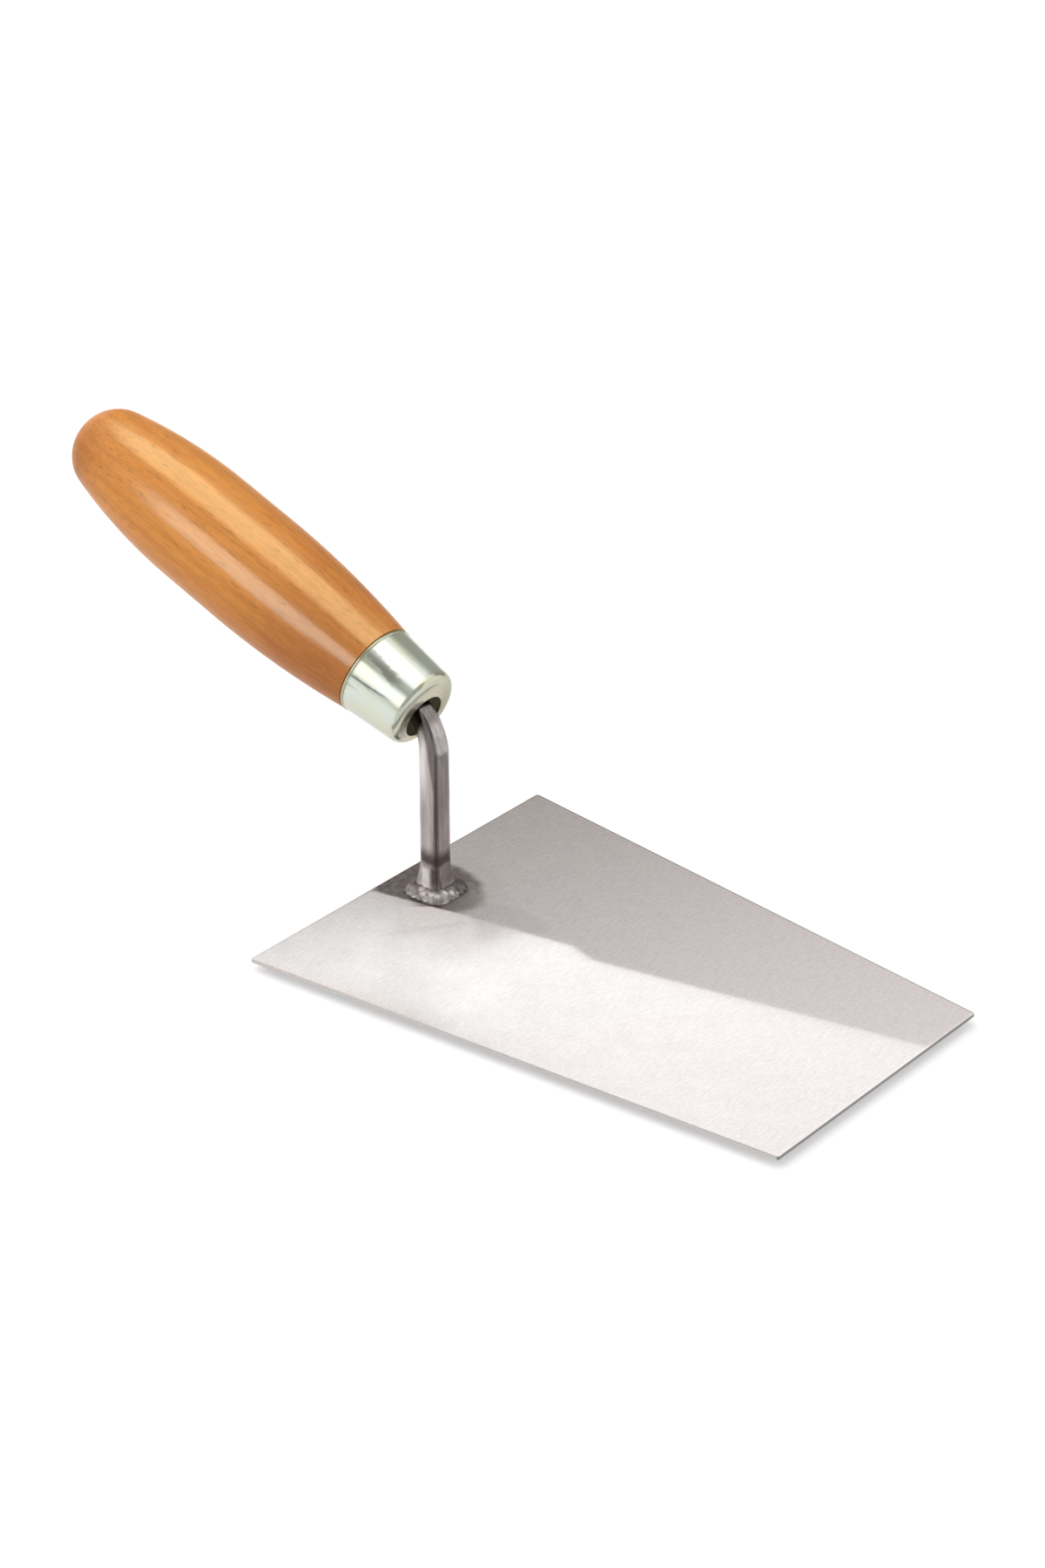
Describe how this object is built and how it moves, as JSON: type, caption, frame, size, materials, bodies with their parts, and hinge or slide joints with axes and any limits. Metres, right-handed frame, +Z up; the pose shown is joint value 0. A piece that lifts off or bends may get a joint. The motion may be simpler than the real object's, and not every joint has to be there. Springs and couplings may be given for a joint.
{
  "type": "plastering trowel",
  "caption": "Hand trowel with a flat trapezoid steel blade, a bent square tang welded to it, a conical ferrule and a turned wooden handle.",
  "frame": {"origin": "point on the blade's underside straight below the shank's axis", "axes": "+X towards the blade's front edge, +Z up out of the blade towards the handle, +Y to the left when looking along +X; y = 0 is the plane of symmetry"},
  "size_m": [0.31, 0.1318, 0.1227],
  "materials": {
    "blade_steel": "fine ground steel, satin, with a brown heat tint round the weld",
    "tang_steel": "drawn steel bar, dull grey with rubbed bright edges",
    "weld_metal": "lumpy weld metal, bright on the crests and dark brown in the hollows",
    "zinc_plate": "bright zinc plate with a pale yellow-green passivation",
    "lacquered_beech": "turned beech under a glossy orange-brown lacquer"
  },
  "bodies": {
    "root": {"blade": "blade_steel", "tang": "tang_steel", "weld_bead": "weld_metal", "ferrule": "zinc_plate", "handle": "lacquered_beech"}
  },
  "joints": []
}
